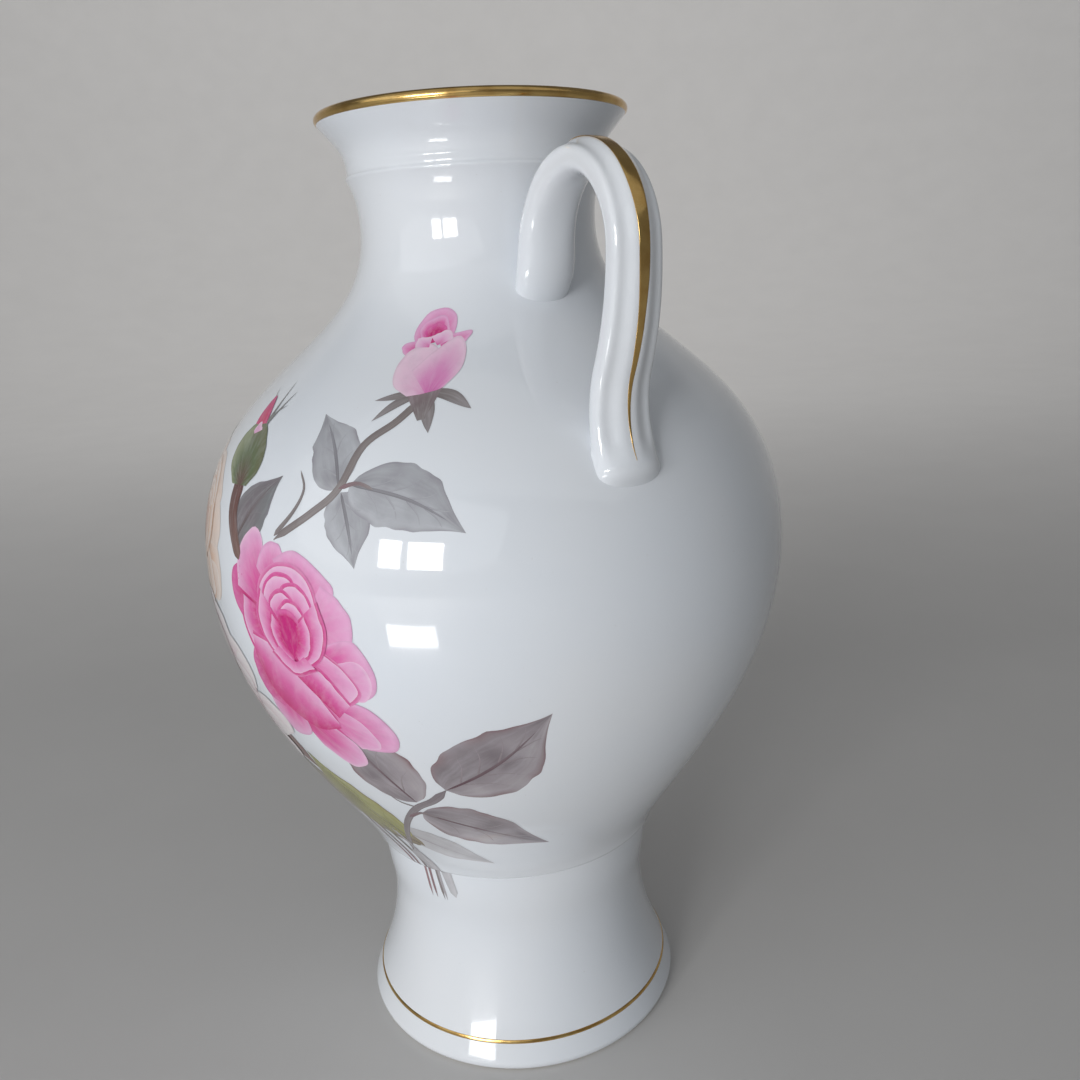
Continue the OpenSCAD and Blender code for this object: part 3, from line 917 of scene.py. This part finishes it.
    def line(self, points, w0, w1, tone0, tone1=None, n=None, swell=0.0, over=0.0):
        """A brush line of half widths w0 to w1."""
        p = through(points, n or max(8, len(points)))
        t = np.linspace(0, 1, len(p))
        step = np.gradient(p, axis=0)
        step /= np.linalg.norm(step, axis=1)[:, None] + 1e-9
        side = np.stack([-step[:, 1], step[:, 0]], -1)
        half = w0 + (w1 - w0) * t + swell * np.sin(math.pi * t)
        half *= np.clip(np.minimum(t, 1 - t) * 14, 0.12, 1)
        u = np.array([-1, -0.4, 0.4, 1.0])
        grid = p[None] + u[:, None, None] * side[None] * half[None, :, None]
        tone1 = tone0 if tone1 is None else tone1
        tones = np.array(tone0) * (1 - t)[None, :, None] + np.array(tone1) * t[None, :, None]
        light = np.array([0.9, 1.0, 1.12, 0.94])[:, None, None]
        self.lay(grid, np.clip(tones * light, 0, 1), over)

    def finished(self, name):
        """The flat sheet laid on the ware, as a plain mesh."""
        mesh = bpy.data.meshes.new(name)
        mesh.from_pydata(self.verts, [], self.faces)
        mesh.validate()
        mesh.materials.append(enamel)
        mesh.polygons.foreach_set("use_smooth", [True] * len(mesh.polygons))
        tones = mesh.attributes.new("paint", "FLOAT_COLOR", "POINT")
        tones.data.foreach_set("color", np.array(self.tones, np.float32).ravel())
        uv = mesh.uv_layers.new(name="UVMap")
        loops = np.empty(len(mesh.loops), int)
        mesh.loops.foreach_get("vertex_index", loops)
        uv.data.foreach_set("uv", np.array(self.uvs, np.float32)[loops].ravel())
        return laid_on_ware.work(placed(name, mesh), {
            "Outline": ware_outline, "Step": OUTLINE_STEP * MM, "Start": SPRAY_START * MM,
            "Facing": SPRAY_FACING, "Finish": enamel})


def set_at(origin, lean):
    """Turns a drawing so that its up leans to the left by lean degrees, about origin."""
    c, s = math.cos(math.radians(lean)), math.sin(math.radians(lean))
    return lambda *pts: [(origin[0] + x * c - y * s, origin[1] + x * s + y * c)
                         for x, y in pts]


ROSE_DEEP = ink(200, 36, 118)
ROSE_MID = ink(220, 98, 166)
ROSE_PALE = ink(232, 172, 212)
ROSE_HEART = ink(198, 24, 122)
ROSE_LIGHT = ink(240, 206, 228)
LEAF_GREY = ink(150, 150, 156)
LEAF_PALE = ink(186, 189, 195)
LEAF_EDGE = ink(138, 134, 142)
LEAF_DUSK = ink(120, 110, 116)
LEAF_MAUVE = ink(180, 173, 178)
LEAF_RUST = ink(122, 84, 88)
VEIN_DARK = ink(84, 48, 60)
STEM_GREY = ink(132, 124, 124)
STEM_DARK = ink(98, 84, 84)
OLIVE = ink(92, 108, 72)
OLIVE_PALE = ink(140, 150, 110)
BARK = ink(92, 50, 46)
LIME = ink(172, 172, 96)
LIME_DARK = ink(122, 120, 58)
IVORY = ink(243, 240, 234)
ROSE = (ROSE_DEEP, ROSE_MID, ROSE_PALE)
PALE_FOLD = (ROSE_MID, ROSE_PALE, ROSE_LIGHT)
UPPER_LEAF = (LEAF_GREY, LEAF_PALE, LEAF_EDGE)
LOWER_LEAF = (LEAF_DUSK, LEAF_MAUVE, LEAF_RUST)

# Leaves and stems, behind the flowers
leaves = Sheet(THIN_COAT)
for root, tip, left, right, tones, more in (
        ((14, 37), (0, 58), 7.5, 7.0, UPPER_LEAF, {"bend": -1.5}),
        ((15, 36), (22, 17), 6.6, 6.6, UPPER_LEAF, {"bend": 0.8}),
        ((17, 38), (50, 26), 8.6, 8.2, UPPER_LEAF, {"bend": 2.5, "veins": 4}),
        ((20, -61), (4, -26), 10.5, 12.5, LOWER_LEAF, {"vein": VEIN_DARK, "bend": -1.0}),
        ((32, -53), (69, -24), 12.0, 11.0, LOWER_LEAF,
         {"vein": VEIN_DARK, "bend": -2.0, "veins": 4}),
        ((19, -67), (49, -87), 11.5, 10.5, LOWER_LEAF, {"vein": VEIN_DARK, "bend": 1.5})):
    leaves.leaf(root, tip, left, right, *tones, **more)
leaves.leaf((3, -82), (28, -99), 8.0, 6.5, ink(176, 174, 178), ink(206, 206, 210),
            ink(190, 186, 190), veins=0, vein=ink(160, 156, 160))
leaves.leaf((8, -92), (-38, -50), 8.0, 7.0, ink(110, 92, 74), ink(150, 140, 104),
            ink(120, 70, 64), vein=BARK)
leaves.leaf((4.5, -88), (-16, -49), 12.0, 9.5, LIME_DARK, LIME, ink(130, 112, 66), bend=1.0,
            vein=ink(112, 106, 48))
leaves.leaf((-30, -42), (-16, -58), 6.0, 6.0, BARK, ink(130, 60, 50), BARK, veins=0)
leaves.leaf((-24, 18), (-6, 39), 7.0, 7.6, LEAF_DUSK, ink(128, 132, 134), LEAF_EDGE,
            vein=STEM_DARK, bend=1.0)

stems = Sheet(0.05)
stems.line([(27, 64), (23, 56), (17, 49), (14, 37), (7, 30), (-5, 22)], 1.3, 1.0,
           ink(122, 112, 110), STEM_GREY, n=40)
stems.line([(-5, 23), (1, 30), (3, 36), (0, 41)], 0.8, 0.25, STEM_GREY, STEM_GREY, n=16)
stems.line([(14, 37), (19, 38.5), (24, 37)], 0.7, 0.4, ink(120, 84, 92), STEM_GREY)
stems.line([(32, -53), (26, -59), (19, -64), (13, -71), (8, -79), (3, -90), (0, -99)],
           1.3, 0.8, ink(122, 112, 118), STEM_GREY, n=40)
stems.line([(19, -64), (14, -62), (11, -57)], 0.5, 0.15, STEM_GREY)
stems.line([(13, -71), (19, -67), (23, -69)], 0.7, 0.4, ink(120, 84, 92), STEM_GREY)
for dx, drift, tone in ((-7, 10, ink(150, 118, 122)), (-3, 8, ink(140, 112, 116)),
                        (1, 7, STEM_GREY), (5, 4, ink(170, 166, 170))):
    stems.line([(dx - 6, -84), (dx - 3, -97), (dx + drift - 6.5, -110), (dx + drift - 4, -124)],
               0.8, 0.4, tone, tone, n=40)
stems.line([(0, -98), (4.5, -108), (8.5, -122)], 2.8, 1.3, ink(176, 174, 178),
           ink(196, 196, 200), n=30)

# Buds
buds = Sheet(0.08)
bud = set_at((26.5, 65), 19)
for tip, w in (((-13, -5), 1.1), ((-13, 2), 0.9), ((2, -14), 1.4), ((12, -10), 1.3)):
    buds.line(bud((0, 0.5), (tip[0] * 0.5, tip[1] * 0.35 + 0.8), tip), 0.7, 0.05,
              ink(106, 96, 94), ink(146, 140, 142), swell=w, n=16)
buds.petal(bud((-1, -9), (1, -9)), bud((-4.5, 1), (-2, 3), (2, 3), (4.5, 1)), STEM_GREY,
           ink(122, 108, 110), ink(140, 122, 128), reach=0.5)
buds.petal(bud((0, 19)), bud((-4.5, 19), (-5.6, 25), (-2.6, 30.5), (2, 31), (5.4, 27), (5, 19)), *ROSE)
buds.petal(bud((0, 20)), bud((-3.4, 21), (-4, 26), (-1, 28.6), (2.6, 28), (4, 21)),
           ROSE_HEART, ROSE_MID, ROSE_PALE, reach=0.7)
buds.petal(bud((0, 20)), bud((-2.6, 21), (-2.4, 24.6), (0.4, 26.4), (2.8, 24), (3, 21)),
           ROSE_HEART, ROSE_DEEP, ROSE_MID)
buds.petal(bud((0, 20)), bud((-1.8, 21), (-0.8, 23.6), (1.2, 23.6), (2, 21)),
           ROSE_HEART, ROSE_HEART, ROSE_DEEP)
buds.petal(bud((-2.4, 16)), bud((-7, 16), (-8.4, 20.5), (-5, 21.5), (-1.6, 18.5)), *ROSE)
buds.petal(bud((2.4, 15)), bud((1.6, 18.5), (5, 20.5), (9.6, 19.5), (7.6, 15)), *ROSE)
buds.petal(bud((-1, 0), (1, 0)), bud((-4.5, 0.5), (-8.8, 6), (-9, 12), (-6.6, 17.5),
                                     (-1, 19), (3, 14)),
           ink(220, 150, 194), ink(232, 186, 214), ink(238, 208, 226), reach=0.3)
buds.petal(bud((0, 0), (3, 0)), bud((-4.5, 10), (0, 15), (6, 19), (8.6, 14), (8.2, 6), (4.5, 0.5)),
           ink(214, 112, 178), ink(226, 152, 200), ink(238, 202, 224), reach=0.45)
buds.petal(bud((-1, 17.5)), bud((-5, 19), (-4.2, 22), (-0.5, 21.5)), *PALE_FOLD)
buds.petal(bud((1, 17.5)), bud((-0.8, 21.5), (3.6, 22.5), (5, 18.5)), *PALE_FOLD)

green = set_at((-26, 34), 3)
buds.line(green((0, 2), (-1, -8), (4, -20)), 3.2, 2.0, BARK, ink(120, 92, 84), n=18)
for tip in ((6, 34), (10, 30), (-3, 31), (9, 25)):
    buds.line(green((1, 15), (tip[0] * 0.4 + 1, 22), tip), 0.7, 0.06, ink(110, 108, 104),
              ink(140, 140, 140), n=14)
buds.petal(green((0, 13)), green((-4, 15), (-4.5, 21), (-1.5, 28), (1.5, 23), (3, 15)),
           ROSE_HEART, ink(204, 40, 100), ROSE_DEEP)
buds.petal(green((0, 0)), green((-5, 0), (-11, 6), (-10, 13), (-4, 18), (-1, 17)),
           BARK, OLIVE, OLIVE_PALE, edge=OLIVE, reach=0.5)
buds.petal(green((0, 0)), green((-3, 17), (3, 18.5), (8, 12), (8.5, 5), (4, 0)),
           BARK, OLIVE, ink(110, 112, 84), edge=OLIVE, reach=0.55)
buds.petal(green((-2, 15)), green((-3.5, 16), (-1, 19), (2, 16.5)), ROSE_PALE, ROSE_PALE,
           ROSE_LIGHT)


def open_rose(sheet, at, deep, mid, pale, heart, light):
    """A full rose: guard petals, a fallen front, the cup and its folded heart."""
    def p(root, rim, tones, **more):
        sheet.petal(at(*root), at(*rim), *tones, **more)

    soft = (mid, (mid + pale) / 2, pale)
    full = (deep, mid, pale)
    dusk = (heart, deep, mid)
    fold = dict(edge=light, under=deep * 0.6 + mid * 0.4)
    p([(0, -10)], [(-17, -4), (-13, 8), (0, 12), (13, 4), (15, -14), (9, -30), (-3, -36),
                   (-14, -28), (-17, -14), (-17, -4)], dusk, reach=0.5, nu=60)
    p([(-8, 0)], [(-18, -6), (-25, 3), (-25, 11), (-18, 15)], (deep, deep, mid))
    p([(-7, 2)], [(-22, 7), (-21, 17), (-15, 24), (-10, 22), (-8, 12)], full, edge=light)
    p([(-4, 6)], [(-12, 14), (-9, 20), (-3, 21), (1, 15)], full)
    p([(3, 5)], [(-5, 17), (3, 20), (11, 16), (16, 11), (13, 3)], full)
    p([(5, 0)], [(12, 12), (18, 8), (21, 2), (19, -6), (12, -10)], soft)
    p([(6, -9), (8, -16)], [(12, -4), (20, -2), (25, -9), (24, -17), (17, -21)], full)
    p([(9, -14)], [(14, -9), (21, -8), (24, -14), (20, -20), (14, -19)], soft, edge=light)
    p([(2, -24), (4, -30)], [(10, -21), (20, -22), (26, -30), (24, -37), (15, -38)], full)
    p([(4, -24), (7, -30)], [(11, -24), (17, -28), (20, -36), (13, -38)], soft, edge=light)
    p([(-4, -26), (-6, -32)], [(6, -31), (12, -37), (12, -44), (6, -47), (-2, -41)], full,
      edge=light)
    p([(-9, -16), (-8, -24)], [(-18, -20), (-18, -32), (-13, -39), (-5, -37), (-4, -30)], full)
    p([(-8, -10), (-6, -20)], [(-17, -8), (-21, -16), (-19, -26), (-12, -29)], dusk)
    p([(4, -8), (6, -14)], [(9, -6), (15, -10), (19, -17), (13, -22), (8, -20)], soft, **fold)
    p([(-12, 3), (-10, -8)], [(-19, 5), (-20, -3), (-16, -12), (-10, -13)], full, **fold)
    p([(-18, -12), (-13, -25), (-1, -33), (9, -31)],
      [(-17, -6), (-8, -8), (2, -16), (9, -29)], full, reach=0.5, **fold)
    p([(-1, -15), (5, -21), (10, -27)], [(2, -10), (9, -13), (15, -22)], full, **fold)
    p([(0, -2)], [(-11, 2), (-10, 10), (-4, 15), (4, 15), (9, 10), (10, 2)], soft,
      reach=0.4, **fold)
    p([(-1, -3)], [(-8.5, 1), (-8.5, 8), (-4, 12.5), (2, 12), (4, 7)], full, reach=0.6, **fold)
    p([(1, -3)], [(-3, 5), (-1, 9.5), (4, 10.5), (8, 6.5), (8.5, 0)], full, reach=0.6, **fold)
    p([(0, -4)], [(-6, 1), (-6, 5.5), (-2, 8.5), (2, 6.5), (3, 2)], full, reach=0.7, **fold)
    p([(0, -5)], [(-3, 3), (0, 6), (4, 5), (6, 1), (5.5, -3)], full, reach=0.75, **fold)
    p([(0, -6)], [(-5, -2), (-4, 3), (0, 4.2), (3.5, 2.2), (5, -3)], dusk, reach=0.8)
    p([(0, -10)], [(-5.5, -5), (-5, 0), (-1, 2.6), (3.5, 0.5), (5, -5), (3, -9)],
      (heart, heart, heart * 0.8 + deep * 0.2), edge=heart * 0.7 + deep * 0.3, reach=0.7)
    p([(-3.5, 1), (-3.5, -4), (-1, -9)], [(-10, 8), (-12, 0), (-9, -7), (-3, -12)], full,
      **fold)
    p([(-3, -1), (-3, -5), (0, -9)], [(-6, 2), (-7, -3), (-4.5, -8), (0, -11)], full, **fold)
    p([(4, 2), (4, -4), (1, -9)], [(10, 7), (12, -1), (9, -8), (3, -12)], full, **fold)
    p([(3, 0), (3, -4), (1, -8)], [(6, 3), (7.5, -2), (6, -7), (2, -10.5)], full, **fold)
    p([(-5, -7), (0, -10.5), (4, -8.5)], [(-8, -9), (-1, -14), (7, -11.5)], soft, **fold)


rose = Sheet(0.08, 0.007)
open_rose(rose, set_at((0, 0), 0), *ROSE, ROSE_HEART, ROSE_LIGHT)

blooms = Sheet(0.03, 0.003)
open_rose(blooms, set_at((-56, 22), -16), ink(198, 140, 104), ink(226, 188, 160),
          ink(232, 216, 206), ink(186, 112, 66), IVORY)
open_rose(blooms, set_at((-55, -20), 30), ink(196, 140, 160), ink(226, 204, 210),
          ink(236, 230, 232), ink(180, 90, 120), IVORY)

painted = [leaves.finished("painted_leaves"), stems.finished("painted_stems"),
           buds.finished("painted_buds"), blooms.finished("painted_pale_roses"),
           rose.finished("painted_rose")]
bpy.data.objects.remove(ware_outline)


# ---------------------------------------------------------------- hand-over to the frame

pieces = {
    "glazed_porcelain": {
        "porcelain_foot": "vase_foot", "porcelain_body": "vase_body",
        "porcelain_mouth": "vase_mouth", "porcelain_handle_right": "handle_right",
        "porcelain_handle_left": "handle_left"},
    "fired_gold": {
        "gilded_rim": "rim_gilding", "gilded_foot_line": "foot_gilding",
        "gilded_handle_right": "handle_gilding_right",
        "gilded_handle_left": "handle_gilding_left"},
}
for slot, replaced in pieces.items():
    for name, node in replaced.items():
        piece = bpy.data.objects[name]
        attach(piece, "root")
        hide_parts(node)
for piece in painted:
    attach(piece, "root")


# ---------------------------------------------------------------- stage and camera

def plain(name, colour, rough):
    """A plain finish with a faint grain."""
    material, tree, skin_node, place = finish_material(name)
    grain = noise(tree, place, 12.0, 4.0)
    tone = blended(tree, spread(tree, grain, 0.3, 0.7), colour, tuple(c * 0.97 for c in colour))
    tree.links.new(tone, skin_node.inputs["Base Color"])
    skin_node.inputs["Roughness"].default_value = rough
    return material


FLOOR_R = 2000        # flat floor, in millimetres, before it curves up into a wall
COVE_R = 1900
WALL_TOP = 2700
WALL_T = 200
FLOOR_T = 20
PALE = (0.64, 0.63, 0.62)
wall_r = FLOOR_R + COVE_R
cove = joined([(0, 0), (FLOOR_R, 0)], arc((FLOOR_R, COVE_R), COVE_R, -90, 0, 30),
              [(wall_r, WALL_TOP)])
back = [(wall_r + WALL_T, WALL_TOP), (wall_r + WALL_T, -FLOOR_T), (0, -FLOOR_T)]
floor = turn_piece("floor", joined(cove, back), plain("pale_floor", PALE, 0.5), around=96)

CAMERA_TURN = math.radians(66)
CAMERA_OUT = 0.3185
CAMERA_UP = 0.2557
CAMERA_YAW = math.radians(2.54)
CAMERA_DOWN = math.radians(15.78)
CAMERA_ROLL = math.radians(-2.92)
LENS = 32.66

ahead = Vector((-math.sin(CAMERA_TURN), math.cos(CAMERA_TURN), 0))
aside = Vector((math.cos(CAMERA_TURN), math.sin(CAMERA_TURN), 0))
level = math.cos(CAMERA_YAW) * ahead + math.sin(CAMERA_YAW) * aside
right = math.cos(CAMERA_YAW) * aside - math.sin(CAMERA_YAW) * ahead
sight = math.cos(CAMERA_DOWN) * level - math.sin(CAMERA_DOWN) * Vector((0, 0, 1))
over = math.sin(CAMERA_DOWN) * level + math.cos(CAMERA_DOWN) * Vector((0, 0, 1))
right, over = (math.cos(CAMERA_ROLL) * right + math.sin(CAMERA_ROLL) * over,
               math.cos(CAMERA_ROLL) * over - math.sin(CAMERA_ROLL) * right)
stand = Vector((CAMERA_OUT * math.sin(CAMERA_TURN), -CAMERA_OUT * math.cos(CAMERA_TURN),
                CAMERA_UP))
view = bpy.data.cameras.new("view")
view.lens = LENS
view.sensor_width = 36
view.clip_start = 0.01
camera = placed("view", view)
camera.matrix_world = Matrix((
    (right.x, over.x, -sight.x, stand.x), (right.y, over.y, -sight.y, stand.y),
    (right.z, over.z, -sight.z, stand.z), (0, 0, 0, 1)))
bpy.context.scene.camera = camera


def turned_to(way):
    """The turn that makes a lamp face along way."""
    return way.to_track_quat("-Z", "Y").to_euler()


def lamp(name, towards, distance, width, height, watts, colour=(1, 1, 1), aim=(0, 0, 0.16)):
    """A soft box seen from the vase in the direction (azimuth, elevation), in degrees."""
    data = bpy.data.lights.new(name, "AREA")
    data.shape = "RECTANGLE"
    data.size, data.size_y = width, height
    data.energy = watts
    data.color = colour
    obj = placed(name, data)
    az, el = (math.radians(a) for a in towards)
    way = Vector((math.sin(az) * math.cos(el), -math.cos(az) * math.cos(el), math.sin(el)))
    obj.location = Vector(aim) + way * distance
    obj.rotation_euler = turned_to(-way)
    obj.visible_camera = False
    return obj


lamp("window_left_pane", (27, 11.5), 1.6, 0.22, 0.34, 4.0)
lamp("window_right_pane", (40, 11.5), 1.6, 0.34, 0.34, 5.6)
lamp("floor_glint", (36, -20), 0.46, 0.13, 0.115, 0.32)
lamp("soft_wall", (26, 21), 2.7, 4.4, 2.0, 18.0, (0.94, 0.97, 1.0))
# The ceiling lies level above the front, the wash faces away from the vase, at the backdrop
ceiling = lamp("soft_ceiling", (58, 60), 1.5, 4.4, 1.5, 6.0, (0.94, 0.98, 1.0))
ceiling.location = Vector((0.62, -0.40, 1.45))
ceiling.rotation_euler = (0, 0, math.radians(58))
wash = lamp("backdrop_wash", (246, 62), 2.2, 2.6, 0.9, 45)
wash.rotation_euler = turned_to(Vector((-3.5, 1.55, 1.1)) - wash.location)

world = bpy.data.worlds.new("studio")
world.use_nodes = True
dim = world.node_tree.nodes["Background"]
dim.inputs["Color"].default_value = (0.86, 0.86, 0.87, 1)
dim.inputs["Strength"].default_value = 0.14
bpy.context.scene.world = world
bpy.context.scene.view_settings.view_transform = "Standard"
